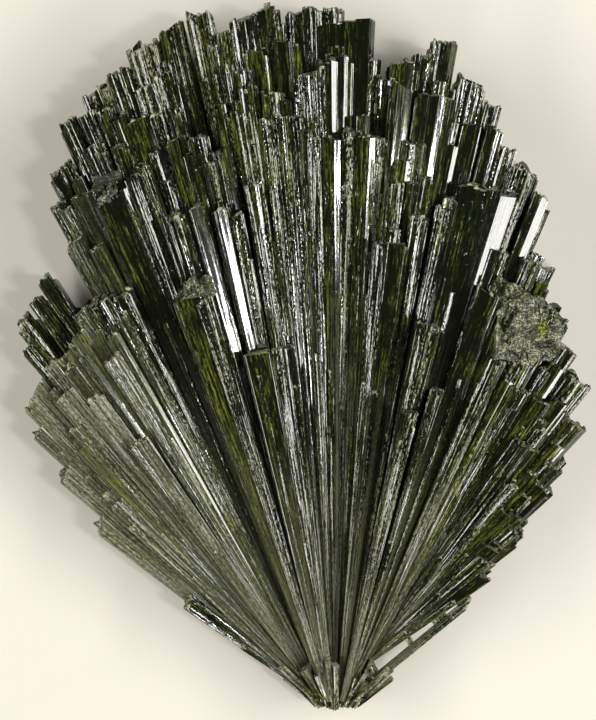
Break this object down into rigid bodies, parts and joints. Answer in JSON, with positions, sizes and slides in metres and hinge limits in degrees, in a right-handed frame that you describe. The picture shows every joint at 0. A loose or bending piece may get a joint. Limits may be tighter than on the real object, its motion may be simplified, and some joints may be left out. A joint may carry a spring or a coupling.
{
  "type": "epidote crystal cluster",
  "caption": "Fan of intergrown dark green epidote prisms that spread from one root and end in stepped tiers, lying on its flat back.",
  "frame": {"origin": "under the middle of the cluster, on the plane that its back rests on", "axes": "+Y from the root towards the tips, +X across the fan to the right as the front is looked at, +Z out of the back towards the front tiers"},
  "size_m": [0.044, 0.0544, 0.0112],
  "materials": {
    "epidote": "gloss"
  },
  "bodies": {
    "root": {"crystal_fan": "epidote"}
  },
  "joints": []
}
